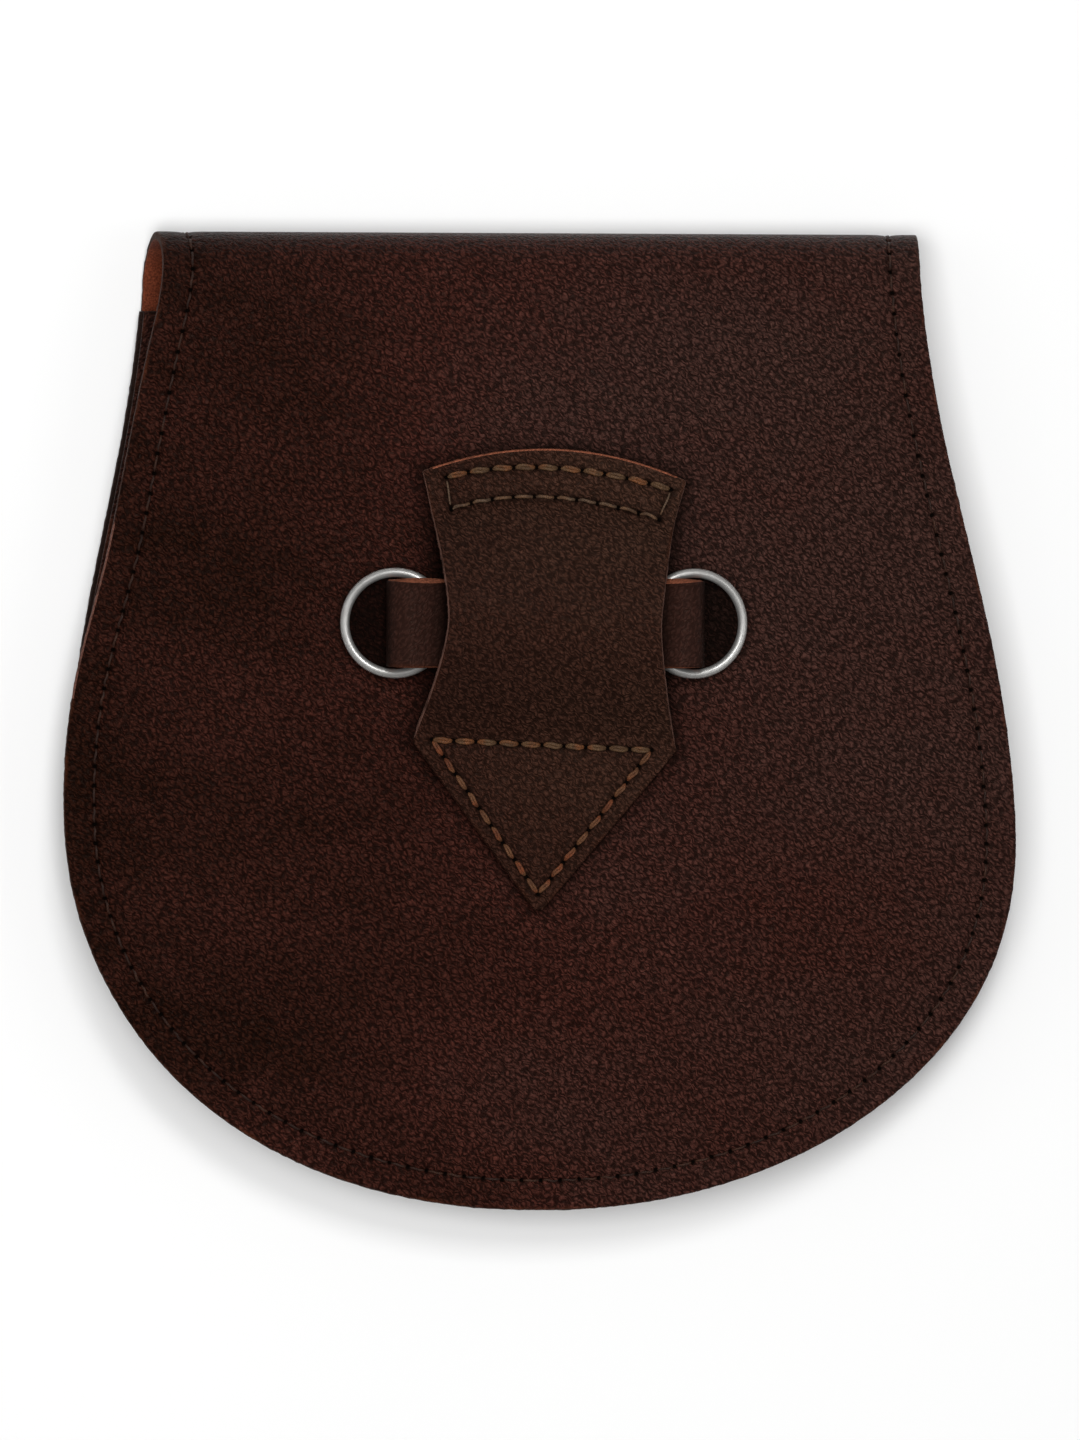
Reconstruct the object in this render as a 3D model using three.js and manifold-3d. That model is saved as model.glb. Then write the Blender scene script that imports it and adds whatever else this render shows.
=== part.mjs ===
// Leather day sporran: a belt pouch that lies on its front flap, with its back up.
// Millimetres. +Z is up, +Y points to the top fold, +X to the right as seen from above.
import * as THREE from "three";
import { mergeVertices } from "three/addons/utils/BufferGeometryUtils.js";
import Module from "manifold-3d";

const { clamp, degToRad, lerp, smoothstep } = THREE.MathUtils;

// Driving dimensions
const WIDTH = 203;
const HEIGHT = 208;
const GAP = 0.3;
const PANEL_LEATHER = 2.0;
const GUSSET_LEATHER = 1.6;
const STRAP_LEATHER = 1.5;

// The top fold is round, and the back rises from it at the lift angle.
const FOLD = { radius: 9.5, lift: degToRad(14), steps: 9 };

// The back is pillowed: it is highest at the crown and falls to an even rim.
const CROWN_Y = 21;
const RIM_HEIGHT = 21.5;

// Panel outlines. The side eases from the widest place up to the top, and a superellipse closes the
// bottom, where the last sliver is cut blunt.
const ROUNDNESS = 2.1;
const BLUNT_END = 0.996;
const BACK = { top: HEIGHT / 2, topHalf: 81.6, widest: -22, half: WIDTH / 2, bottom: -HEIGHT / 2 };
const FRONT = { top: HEIGHT / 2, topHalf: 83.2, widest: -22, half: 99.6, bottom: -102.8 };
const FLAP = { top: HEIGHT / 2 - FOLD.radius, topHalf: 83.2, widest: 28, half: 89.5, bottom: -32 };

// The front panel starts below the fold and sinks from the flap's thickness to the ground.
const MOUTH_Y = 87;
const FRONT_SINK = { from: -40, to: -96 };

// Section of the gusset from the back's edge to the front's edge: how far in from the edge, and how far
// down from the back (0) to the front (1).
const GUSSET_SECTION = [
  { inset: 0.8, depth: 0 },
  { inset: 6.5, depth: 0 },
  { inset: 8.6, depth: 0.08 },
  { inset: 10.0, depth: 0.26 },
  { inset: 10.8, depth: 0.5 },
  { inset: 10.0, depth: 0.74 },
  { inset: 8.6, depth: 0.92 },
  { inset: 6.5, depth: 1 },
  { inset: 0.8, depth: 1 },
];

// Belt loop: a shield with an arched top, a waist and a pointed end, sewn down at both ends and free
// between. Heights are along the loop, which is sewn on with a slight turn about its centre.
const LOOP = {
  centre: new THREE.Vector2(1.9, 21),
  turn: degToRad(-2),
  top: 31.3,
  topHalf: 28.1,
  topRise: 5.7,
  riseFade: 20.5,
  waist: 0.4,
  waistHalf: 22.5,
  corner: -26.1,
  cornerHalf: 28.1,
  tip: -60.9,
  tipHalf: 0.8,
  sidePower: 1.5,
};
const ARCH = { from: -24.2, to: 22.7, height: 13.2, power: 1.15 };

// Ring strap: a band folded round a ring at each end. Its ends meet under the belt loop.
const STRAP = { centreX: 0.8, y: 21, width: 18.5, halfLength: 33.8, endRadius: 4.7, opensAt: 8 };
const RING = { radius: 10.7, wire: 1, offset: 31.8, pivotOffset: 1.3 };

// Press stud between the flap and the front
const SNAP = {
  y: -14,
  capRadius: 6.2,
  capEdge: 1,
  capFace: 0.15,
  capBack: 1.0,
  shankRadius: 2.5,
  washerRadius: 5.5,
  washer: 1.0,
};

// Fineness of the meshes
const MESH = {
  columns: 16,
  backRows: 28,
  flapRows: 18,
  frontRows: 26,
  stations: 56,
  rimPoints: 36,
  loopColumns: 10,
  loopTipRows: 9,
  loopRows: 17,
  strapColumns: 4,
  strapSteps: 6,
  strapBend: 9,
  ringSides: 8,
  ringSteps: 32,
  roundSteps: 24,
};

const FINISH = {
  panel: { color: 0x36211a, roughness: 0.5 },
  gusset: { color: 0x34201a, roughness: 0.6 },
  loop: { color: 0x382419, roughness: 0.5 },
  steel: { color: 0xc9c8c4, roughness: 0.25, metalness: 1 },
};

// Eases a share of the way at both ends.
function ease(share) {
  return (1 - Math.cos(Math.PI * share)) / 2;
}

// Makes a list in even steps, from share 0 to share 1 of the way.
function inSteps(count, make) {
  return Array.from({ length: count + 1 }, (_, i) => make(i / count));
}

// Solids

// Closes a sheet of leather: the grid of points is one face, and the other face lies at the given
// thickness behind it. A row runs across, and rows follow each other with the face to their left.
function sheetSolid(grid, thickness) {
  const rows = grid.length;
  const columns = grid[0].length;
  const behind = grid.map((row, i) => row.map((point, j) => {
    const above = grid[Math.min(i + 1, rows - 1)][j];
    const below = grid[Math.max(i - 1, 0)][j];
    const right = row[Math.min(j + 1, columns - 1)];
    const left = row[Math.max(j - 1, 0)];
    const along = new THREE.Vector3().subVectors(above, below);
    const normal = new THREE.Vector3().subVectors(right, left).cross(along).normalize();
    return point.clone().addScaledVector(normal, -thickness);
  }));
  const faceSize = rows * columns;
  const at = (i, j) => i * columns + j;
  const index = [];
  for (let i = 0; i < rows - 1; i += 1) {
    for (let j = 0; j < columns - 1; j += 1) {
      const [a, b, c, d] = [at(i, j), at(i, j + 1), at(i + 1, j + 1), at(i + 1, j)];
      index.push(a, b, c, a, c, d);
      index.push(a + faceSize, c + faceSize, b + faceSize, a + faceSize, d + faceSize, c + faceSize);
    }
  }
  const border = [];
  for (let j = 0; j < columns - 1; j += 1) border.push(at(0, j));
  for (let i = 0; i < rows - 1; i += 1) border.push(at(i, columns - 1));
  for (let j = columns - 1; j > 0; j -= 1) border.push(at(rows - 1, j));
  for (let i = rows - 1; i > 0; i -= 1) border.push(at(i, 0));
  border.forEach((a, k) => {
    const b = border[(k + 1) % border.length];
    index.push(a, a + faceSize, b, b, a + faceSize, b + faceSize);
  });
  const geometry = new THREE.BufferGeometry();
  geometry.setFromPoints([...grid.flat(), ...behind.flat()]);
  geometry.setIndex(index);
  return geometry;
}

const wasm = await Module();
wasm.setup();

function manifoldOf(geometry) {
  const bare = geometry.clone();
  bare.deleteAttribute("normal");
  bare.deleteAttribute("uv");
  const merged = mergeVertices(bare);
  return new wasm.Manifold(new wasm.Mesh({
    numProp: 3,
    vertProperties: new Float32Array(merged.attributes.position.array),
    triVerts: new Uint32Array(merged.index.array),
  }));
}

function cutAway(geometry, cutters) {
  const solid = cutters.reduce((left, cutter) => left.subtract(manifoldOf(cutter)), manifoldOf(geometry));
  const { vertProperties, triVerts } = solid.getMesh();
  const cut = new THREE.BufferGeometry();
  cut.setAttribute("position", new THREE.BufferAttribute(vertProperties, 3));
  cut.setIndex(new THREE.BufferAttribute(triVerts, 1));
  return cut;
}

// An upright round bore at the snap, from one height to another
function snapBore(radius, low, high) {
  const bore = new THREE.CylinderGeometry(radius, radius, high - low, MESH.roundSteps);
  bore.rotateX(Math.PI / 2);
  bore.translate(0, SNAP.y, (low + high) / 2);
  return bore;
}

// Shape of the pouch

function halfWidth(outline, y) {
  if (y >= outline.widest) {
    const climb = Math.min(1, (y - outline.widest) / (outline.top - outline.widest));
    return lerp(outline.half, outline.topHalf, ease(climb));
  }
  const reach = Math.min(BLUNT_END, (outline.widest - y) / (outline.widest - outline.bottom));
  return outline.half * (1 - reach ** ROUNDNESS) ** (1 / ROUNDNESS);
}

// Where the back leaves the fold
const FOLD_Y = BACK.top - FOLD.radius * (1 - Math.sin(FOLD.lift));
const FOLD_Z = FOLD.radius * (1 + Math.cos(FOLD.lift));

// Rise of the back above the fold, levelling out over a run
function riseFromFold(y, run) {
  const along = clamp(FOLD_Y - y, 0, run);
  return Math.tan(FOLD.lift) * (along - along ** 2 / (2 * run));
}

const CROWN_Z = FOLD_Z + riseFromFold(CROWN_Y, FOLD_Y - CROWN_Y);
const RIM_RUN = 2 * (RIM_HEIGHT - FOLD_Z) / Math.tan(FOLD.lift);

// Height of the back's outer face
function backHeight(x, y) {
  const fall = Math.max(0, (CROWN_Y - y) / (CROWN_Y - BACK.bottom));
  const crown = FOLD_Z + riseFromFold(y, FOLD_Y - CROWN_Y) - (CROWN_Z - RIM_HEIGHT) * fall ** 2;
  const rim = FOLD_Z + riseFromFold(y, RIM_RUN);
  const across = Math.min(1, Math.abs(x) / halfWidth(BACK, y));
  return lerp(crown, rim, across ** 2);
}

// Height of the front's outer face
function frontHeight(y) {
  return (PANEL_LEATHER + GAP) * smoothstep(y, FRONT_SINK.to, FRONT_SINK.from);
}

// One row of a panel, from its left edge to its right
function panelRow(half, place) {
  return inSteps(MESH.columns, (share) => place(half * (2 * share - 1)));
}

// Rows from one height to another, closer together near both
function panelRows(from, to, count, makeRow) {
  return inSteps(count, (share) => makeRow(lerp(from, to, ease(share))));
}

// Back, fold and flap are one piece of leather.
function backAndFlap() {
  const back = panelRows(BACK.bottom, FOLD_Y, MESH.backRows, (y) =>
    panelRow(halfWidth(BACK, y), (x) => new THREE.Vector3(x, y, backHeight(x, y))));
  const foldHalf = halfWidth(BACK, FOLD_Y);
  const foldStart = Math.PI / 2 - FOLD.lift;
  const fold = inSteps(FOLD.steps, (share) => {
    const angle = lerp(foldStart, -Math.PI / 2, share);
    const y = FLAP.top + FOLD.radius * Math.cos(angle);
    const z = FOLD.radius * (1 + Math.sin(angle));
    return panelRow(lerp(foldHalf, FLAP.topHalf, share ** 2), (x) => new THREE.Vector3(x, y, z));
  });
  const flap = panelRows(FLAP.top, FLAP.bottom, MESH.flapRows, (y) =>
    panelRow(halfWidth(FLAP, y), (x) => new THREE.Vector3(x, y, 0)));
  const rows = [...back, ...fold.slice(1, -1), ...flap];
  return cutAway(sheetSolid(rows, PANEL_LEATHER), [
    snapBore(SNAP.capRadius + GAP, -SNAP.capBack, SNAP.capBack + GAP),
    snapBore(SNAP.shankRadius + GAP, -SNAP.capBack, PANEL_LEATHER + GAP / 2),
  ]);
}

function frontPanel() {
  const rows = panelRows(MOUTH_Y, FRONT.bottom, MESH.frontRows, (y) =>
    panelRow(halfWidth(FRONT, y), (x) => new THREE.Vector3(x, y, frontHeight(y))));
  const innerFace = frontHeight(SNAP.y) + PANEL_LEATHER;
  const bore = snapBore(SNAP.shankRadius + GAP, PANEL_LEATHER + GAP / 2, innerFace + GAP / 2);
  return cutAway(sheetSolid(rows, PANEL_LEATHER), [bore]);
}

// The edge of a panel below the mouth, from the right end round the bottom to the left end
function rimCurve(outline) {
  const right = panelRows(MOUTH_Y, outline.bottom, MESH.rimPoints, (y) =>
    new THREE.Vector3(halfWidth(outline, y), y, 0));
  const left = right.map(({ x, y }) => new THREE.Vector3(-x, y, 0)).reverse();
  return new THREE.CatmullRomCurve3([...right, ...left]);
}

// A point in from the edge of a panel, at a share of the way along its rim
function pointInside(rim, share, inset) {
  const tangent = rim.getTangentAt(share);
  const inward = new THREE.Vector3(tangent.y, -tangent.x, 0).normalize();
  return rim.getPointAt(share).addScaledVector(inward, inset);
}

// The gusset is a band with both edges turned out and sewn between the panels' edges.
function gusset() {
  const backRim = rimCurve(BACK);
  const frontRim = rimCurve(FRONT);
  const grid = inSteps(MESH.stations, (share) => GUSSET_SECTION.map(({ inset, depth }) => {
    const under = pointInside(backRim, share, inset);
    under.z = backHeight(under.x, under.y) - PANEL_LEATHER - GAP;
    const over = pointInside(frontRim, share, inset);
    over.z = frontHeight(over.y) + PANEL_LEATHER + GAP;
    return under.lerp(over, depth);
  }));
  return sheetSolid(grid, GUSSET_LEATHER);
}

// Belt loop

function loopHalf(along) {
  if (along < LOOP.corner) {
    return lerp(LOOP.tipHalf, LOOP.cornerHalf, (along - LOOP.tip) / (LOOP.corner - LOOP.tip));
  }
  const above = along > LOOP.waist;
  const end = above ? LOOP.top : LOOP.corner;
  const endHalf = above ? LOOP.topHalf : LOOP.cornerHalf;
  return lerp(LOOP.waistHalf, endHalf, ((along - LOOP.waist) / (end - LOOP.waist)) ** LOOP.sidePower);
}

// A point of the loop's outer face. The free part stands off the back as an even arch.
function loopPoint(along, across) {
  const rise = LOOP.topRise * clamp(1 - (LOOP.top - along) / LOOP.riseFade, 0, 1);
  const flat = new THREE.Vector2(across * loopHalf(along), along + rise * (1 - across ** 2));
  flat.rotateAround(new THREE.Vector2(), LOOP.turn).add(LOOP.centre);
  const share = clamp((along - ARCH.from) / (ARCH.to - ARCH.from), 0, 1);
  const bulge = Math.sin(Math.PI * share) ** ARCH.power;
  const seat = lerp(backHeight(flat.x, flat.y), CROWN_Z, bulge);
  return new THREE.Vector3(flat.x, flat.y, seat + GAP + PANEL_LEATHER + ARCH.height * bulge);
}

function beltLoop() {
  const tipRows = inSteps(MESH.loopTipRows, (share) => lerp(LOOP.tip, LOOP.corner, share));
  const bodyRows = inSteps(MESH.loopRows, (share) => lerp(LOOP.corner, LOOP.top, share));
  const grid = [...tipRows.slice(0, -1), ...bodyRows].map((along) =>
    inSteps(MESH.loopColumns, (share) => loopPoint(along, 2 * share - 1)));
  return sheetSolid(grid, PANEL_LEATHER);
}

// Ring strap and rings

// Half of the strap's outer line, from the middle of its upper layer round one end to the middle of its
// lower layer, as distances from the strap's centre and heights above the back
function strapHalfLine() {
  const layers = 2 * (STRAP_LEATHER + GAP);
  const bendX = STRAP.halfLength - STRAP.endRadius;
  const bendZ = GAP + STRAP.endRadius;
  const toBend = new THREE.Vector2(bendX - STRAP.opensAt, bendZ - layers);
  const slope = toBend.angle() + Math.asin(STRAP.endRadius / toBend.length());
  const bend = inSteps(MESH.strapBend, (share) => {
    const angle = lerp(Math.PI / 2 + slope, -Math.PI / 2, share);
    const spoke = new THREE.Vector2(Math.cos(angle), Math.sin(angle));
    return spoke.multiplyScalar(STRAP.endRadius).add(new THREE.Vector2(bendX, bendZ));
  });
  const opening = new THREE.Vector2(STRAP.opensAt, layers);
  const upper = inSteps(MESH.strapSteps, (share) => opening.clone().lerp(bend[0], share));
  const lower = inSteps(MESH.strapSteps, (share) => new THREE.Vector2(lerp(bendX, 0, share), GAP));
  const middle = new THREE.Vector2(GAP / 2, layers);
  return [middle, ...upper, ...bend.slice(1), ...lower.slice(1)];
}

function ringStrap() {
  const right = strapHalfLine();
  const left = right.slice(0, -1).reverse().map(({ x, y }) => new THREE.Vector2(-x, y));
  const grid = [...right, ...left].map((point) => inSteps(MESH.strapColumns, (share) => {
    const x = STRAP.centreX + point.x;
    const y = STRAP.y + STRAP.width * (0.5 - share);
    return new THREE.Vector3(x, y, backHeight(x, y) + point.y);
  }));
  return sheetSolid(grid, STRAP_LEATHER);
}

// A ring lies in its fold of the strap: it leans from the strap's lower layer, where the wire leaves the
// strap's edge, down to the back. The group turns about the wire inside the fold.
function ringInFold(name, side) {
  const edgeOffset = Math.sqrt(RING.radius ** 2 - (STRAP.width / 2 + RING.wire) ** 2);
  const nearX = RING.offset - edgeOffset;
  const farX = RING.offset + RING.radius;
  const pivotX = RING.offset - RING.radius + RING.pivotOffset;
  const wireHeight = (x, seat) => backHeight(STRAP.centreX + side * x, STRAP.y) + seat + GAP + RING.wire;
  const nearZ = wireHeight(nearX, GAP + STRAP_LEATHER);
  const lean = Math.atan2(nearZ - wireHeight(farX, 0), farX - nearX);
  const pivotZ = nearZ + (nearX - pivotX) * Math.tan(lean);

  const ring = new THREE.TorusGeometry(RING.radius, RING.wire, MESH.ringSides, MESH.ringSteps);
  const mesh = pieceOf(name, ring, FINISH.steel);
  mesh.position.x = side * (RING.offset - pivotX) / Math.cos(lean);
  const pivot = new THREE.Group();
  pivot.position.set(STRAP.centreX + side * pivotX, STRAP.y, pivotZ);
  pivot.rotation.y = side * lean;
  pivot.add(mesh);
  return pivot;
}

// The closed press stud: a low cap sunk in the flap, a shank, and a washer inside the front
function flapSnap() {
  const washerLow = frontHeight(SNAP.y) + PANEL_LEATHER + GAP;
  const profile = [
    [0, SNAP.capFace],
    [SNAP.capRadius - SNAP.capEdge, SNAP.capFace],
    [SNAP.capRadius, (SNAP.capFace + SNAP.capBack) / 2],
    [SNAP.capRadius, SNAP.capBack],
    [SNAP.shankRadius, SNAP.capBack],
    [SNAP.shankRadius, washerLow],
    [SNAP.washerRadius, washerLow],
    [SNAP.washerRadius, washerLow + SNAP.washer],
    [0, washerLow + SNAP.washer],
  ].map(([r, z]) => new THREE.Vector2(r, z));
  return new THREE.LatheGeometry(profile, MESH.roundSteps);
}

// Assembly

function pieceOf(name, geometry, finish) {
  const mesh = new THREE.Mesh(geometry, new THREE.MeshStandardMaterial(finish));
  mesh.name = name;
  return mesh;
}

const snap = pieceOf("flap_snap", flapSnap(), FINISH.steel);
snap.position.y = SNAP.y;
snap.rotation.x = Math.PI / 2;

const sporran = new THREE.Group();
sporran.add(
  pieceOf("back_and_flap", backAndFlap(), FINISH.panel),
  pieceOf("front_panel", frontPanel(), FINISH.panel),
  pieceOf("gusset", gusset(), FINISH.gusset),
  pieceOf("belt_loop", beltLoop(), FINISH.loop),
  pieceOf("ring_strap", ringStrap(), FINISH.loop),
  ringInFold("ring_left", -1),
  ringInFold("ring_right", 1),
  snap,
);

export default sporran;
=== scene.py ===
import math
from types import SimpleNamespace as Group

import bpy
import numpy as np
from mathutils import Matrix, Vector
from mathutils.geometry import delaunay_2d_cdt
from mathutils.kdtree import KDTree


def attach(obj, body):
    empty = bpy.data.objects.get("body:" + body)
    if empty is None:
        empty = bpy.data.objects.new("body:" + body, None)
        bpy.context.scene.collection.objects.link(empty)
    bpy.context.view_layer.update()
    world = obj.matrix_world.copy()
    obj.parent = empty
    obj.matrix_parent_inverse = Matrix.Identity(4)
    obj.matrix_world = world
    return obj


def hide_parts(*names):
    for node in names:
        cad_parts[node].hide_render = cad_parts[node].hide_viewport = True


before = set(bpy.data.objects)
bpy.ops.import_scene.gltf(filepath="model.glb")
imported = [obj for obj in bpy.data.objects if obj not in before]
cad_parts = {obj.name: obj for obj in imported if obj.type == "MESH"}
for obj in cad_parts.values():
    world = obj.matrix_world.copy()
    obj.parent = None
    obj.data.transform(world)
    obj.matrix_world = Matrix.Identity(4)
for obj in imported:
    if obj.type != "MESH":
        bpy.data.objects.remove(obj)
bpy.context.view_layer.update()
RANDOM = np.random.default_rng(7)

# Sizes of the solids, in millimetres. Meshes are scaled to metres when they are made.
MM = 0.001
GAP = 0.3
PANEL_LEATHER = 2.0
GUSSET_LEATHER = 1.6
STRAP_LEATHER = 1.5
FOLD_RADIUS = 9.5
FOLD_LIFT = math.radians(14)
CROWN_Y = 21.0
RIM_HEIGHT = 21.5
ROUNDNESS = 2.1
BACK = Group(top=104.0, top_half=81.6, widest=-22.0, half=101.5, bottom=-104.0)
FRONT = Group(top=104.0, top_half=83.2, widest=-22.0, half=99.6, bottom=-102.8)
FLAP = Group(top=94.5, top_half=83.2, widest=28.0, half=89.5, bottom=-32.0)
MOUTH_Y = 87.0
FRONT_SINK = (-96.0, -40.0)
GUSSET_SECTION = [(0.8, 0), (6.5, 0), (8.6, 0.08), (10.0, 0.26), (10.8, 0.5),
                  (10.0, 0.74), (8.6, 0.92), (6.5, 1), (0.8, 1)]
LOOP = Group(centre=(1.9, 21.0), turn=math.radians(-2), top=31.3, top_half=28.1,
             rise=5.7, fade=20.5, waist=0.4, waist_half=22.5, corner=-26.1,
             corner_half=28.1, tip=-60.9, tip_half=0.8, power=1.5)
ARCH = Group(start=-24.2, to=22.7, height=13.2, power=1.15)
STRAP = Group(x=0.8, y=21.0, width=18.5, half=33.8, radius=4.7, opens=8.0)
RING = Group(radius=10.7, wire=1.0, offset=31.8, pivot=1.3)
SNAP = Group(y=-14.0, cap=6.2, face=0.15, back=1.0, shank=2.5, washer=5.5, thick=1.0)

# Only in the soft leather: the body leans, and its left edge is drawn in near the fold and at the waist
LEAN = Group(amount=2.2, y=-60.0, width=43.0)
NIP = Group(start=45.0, run=30.0)
NIP_PULLS = [Group(amount=2.1, y=97.0, width=16.0), Group(amount=1.3, y=33.0, width=20.0)]

# Seams: distance from the edge, length of a stitch, and points of an outline to each stitch
SEAM_INSET = 6.3
RIM_PITCH = 4.3
STATIONS_PER_STITCH = 4
STITCH = Group(sink=0.9, short=0.6, slant=0.12, slant_spread=0.07, wave=0.6, strand_gap=1.85,
               steps=14, rises=(0.85, 1.15), radii=(0.95, 1.06))
THREAD = Group(sides=9, lay=1.5, plies=3, ply_depth=0.13)

# Edges of the leather, and how deep a stitch hole is
SHEET_BEVEL = 0.35
BAND_BEVEL = 0.3
EDGE_LEVELS = 4
EDGE_BULGE = 0.1
EDGE_ROUGHNESS = 0.05
EDGE_LINE = 0.2
HOLE_DEPTH = 0.55
HOLE_RINGS = [(0, 1, 1.0), (0.36, 6, 0.7), (0.78, 8, 0.0)]
CLEAR_OF_HOLE = 0.95

# How points of a flat pattern keep clear of its rings and of each other, for a lattice in steps of it.
# The flesh side has fewer rings and a coarser lattice.
RING_KEPT = 0.97
CLEAR_OF_RING = 0.3
LATTICE = Group(from_ring=0.5, clear=0.6)
FLESH_SIDE = Group(bevel_share=0.4, ring=2.5, coarser=1.7)


def lerp(a, b, t):
    return a + (b - a) * t


def smooth(t):
    t = np.clip(t, 0.0, 1.0)
    return t * t * (3 - 2 * t)


def bell(x, centre, width):
    return np.exp(-((x - centre) / width) ** 2)


def eased(value, span):
    return smooth((value - span.start) / span.run)


def hump(y, shape):
    return shape.amount * bell(y, shape.y, shape.width)


def rotated(x, y, angle):
    c, s = math.cos(angle), math.sin(angle)
    return x * c - y * s, x * s + y * c


def unit(vectors):
    return vectors / np.linalg.norm(vectors, axis=-1, keepdims=True)


def turns(count):
    """Even steps round a circle."""
    return np.arange(count) / count * 2 * np.pi


def circle(count):
    return np.column_stack([np.cos(turns(count)), np.sin(turns(count))])


class Ripple:
    """Smooth unevenness from a few seeded waves, about -1 to 1."""

    def __init__(self, seed, shortest, longest, count=9):
        rng = np.random.default_rng(seed)
        length = rng.uniform(shortest, longest, count)
        angle = rng.uniform(0, 2 * np.pi, count)
        self.wave = 2 * np.pi / length * np.array([np.cos(angle), np.sin(angle)])
        self.phase = rng.uniform(0, 2 * np.pi, count)

    def __call__(self, x, y):
        x, y = np.broadcast_arrays(np.asarray(x, float), np.asarray(y, float))
        turns = x[..., None] * self.wave[0] + y[..., None] * self.wave[1] + self.phase
        return np.cos(turns).sum(-1) / math.sqrt(len(self.phase))


# Shape of the pouch

def half_width(shape, y):
    y = np.asarray(y, float)
    climb = np.clip((y - shape.widest) / (shape.top - shape.widest), 0, 1)
    side = (1 - np.cos(np.pi * climb)) / 2
    reach = np.clip((shape.widest - y) / (shape.widest - shape.bottom), 0, 1)
    low = shape.half * (1 - reach ** ROUNDNESS) ** (1 / ROUNDNESS)
    return np.where(y >= shape.widest, lerp(shape.half, shape.top_half, side), low)


FOLD_Y = BACK.top - FOLD_RADIUS * (1 - math.sin(FOLD_LIFT))
FOLD_Z = FOLD_RADIUS * (1 + math.cos(FOLD_LIFT))
FOLD_ARC = FOLD_RADIUS * (math.pi - FOLD_LIFT)
FLAP_V = FOLD_Y + FOLD_ARC


def rise_from_fold(y, run):
    along = np.clip(FOLD_Y - y, 0, run)
    return math.tan(FOLD_LIFT) * (along - along ** 2 / (2 * run))


CROWN_Z = FOLD_Z + float(rise_from_fold(CROWN_Y, FOLD_Y - CROWN_Y))
RIM_RUN = 2 * (RIM_HEIGHT - FOLD_Z) / math.tan(FOLD_LIFT)
BACK_RIPPLE = Ripple(3, 34, 80)
UNEVENNESS = 0.3
FITTINGS = Group(half=62.0, y=10.0, half_height=64.0, fade=0.35)
CALM_RIM = Group(start=8.0, run=16.0)


def back_z(x, y):
    """Height of the back's outer face, with a slight unevenness away from the rim and the fittings."""
    fall = np.maximum(0, (CROWN_Y - y) / (CROWN_Y - BACK.bottom))
    crown = FOLD_Z + rise_from_fold(y, FOLD_Y - CROWN_Y) - (CROWN_Z - RIM_HEIGHT) * fall ** 2
    rim = FOLD_Z + rise_from_fold(y, RIM_RUN)
    half = np.maximum(half_width(BACK, y), 1.0)
    across = np.minimum(1, np.abs(x) / half)
    inner = np.minimum((1 - across) * half, np.minimum(y - BACK.bottom, FOLD_Y - y))
    fittings = np.hypot(x / FITTINGS.half, (y - FITTINGS.y) / FITTINGS.half_height)
    free = eased(inner, CALM_RIM) * smooth((fittings - 1) / FITTINGS.fade)
    return lerp(crown, rim, across ** 2) + UNEVENNESS * free * BACK_RIPPLE(x, y)


def lean(y):
    """How far the lower body sits to the right, as the hand-cut leather does."""
    return hump(y, LEAN)


def nip(x, y):
    """How far the left edge is drawn in."""
    return sum(hump(y, pull) for pull in NIP_PULLS) * eased(-x, NIP)


def front_z(y):
    low, high = FRONT_SINK
    return (PANEL_LEATHER + GAP) * smooth((y - low) / (high - low))


def place_body(uv):
    """Outer face of the back, the fold and the flap, which are one piece, from its flat pattern."""
    u, v = uv[:, 0], uv[:, 1]
    angle = math.pi / 2 - FOLD_LIFT - (np.clip(v, FOLD_Y, FLAP_V) - FOLD_Y) / FOLD_RADIUS
    on_back, on_flap = v < FOLD_Y, v > FLAP_V
    y = np.where(on_back, v, FLAP.top + FOLD_RADIUS * np.cos(angle))
    y = np.where(on_flap, FLAP.top - (v - FLAP_V), y)
    z = np.where(on_back, back_z(u, np.minimum(v, FOLD_Y)), FOLD_RADIUS * (1 + np.sin(angle)))
    x = u + np.where(on_back, lean(y), 0.0) + nip(u, v)
    return np.column_stack([x, y, np.where(on_flap, 0.0, z)])


def place_front(uv):
    """Outer face of the front, which looks down."""
    return np.column_stack([uv[:, 0] + lean(-uv[:, 1]), -uv[:, 1], front_z(-uv[:, 1])])


def end_arc(shape, count=240):
    """Right half of a panel's round end, from its widest place to its tip."""
    t = np.linspace(0, np.pi / 2, count)
    x = shape.half * np.cos(t).clip(0) ** (2 / ROUNDNESS)
    y = shape.widest - (shape.widest - shape.bottom) * np.sin(t) ** (2 / ROUNDNESS)
    return np.column_stack([x, y])


def right_side(shape, high, count=160):
    y = np.linspace(high, shape.widest, count)
    return np.column_stack([half_width(shape, y), y])


def distance_along(line):
    return np.concatenate([[0], np.cumsum(np.linalg.norm(np.diff(line, axis=0), axis=1))])


def resample(points, count, closed):
    """Points at even distances along a line."""
    line = np.vstack([points, points[:1]]) if closed else np.asarray(points, float)
    along = distance_along(line)
    at = np.linspace(0, along[-1], count + 1)[:-1] if closed else np.linspace(0, along[-1], count)
    return np.column_stack([np.interp(at, along, line[:, k]) for k in range(line.shape[1])])


def length_of(points, closed=False):
    return float(distance_along(np.vstack([points, points[:1]]) if closed else points)[-1])


def inward(line, closed=True):
    """Normals to the left of a line, which is the inside of an outline that runs anticlockwise."""
    if closed:
        tangent = np.roll(line, -1, 0) - np.roll(line, 1, 0)
    else:
        tangent = np.gradient(line, axis=0)
    tangent = unit(tangent)
    return np.column_stack([-tangent[:, 1], tangent[:, 0]])


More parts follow.
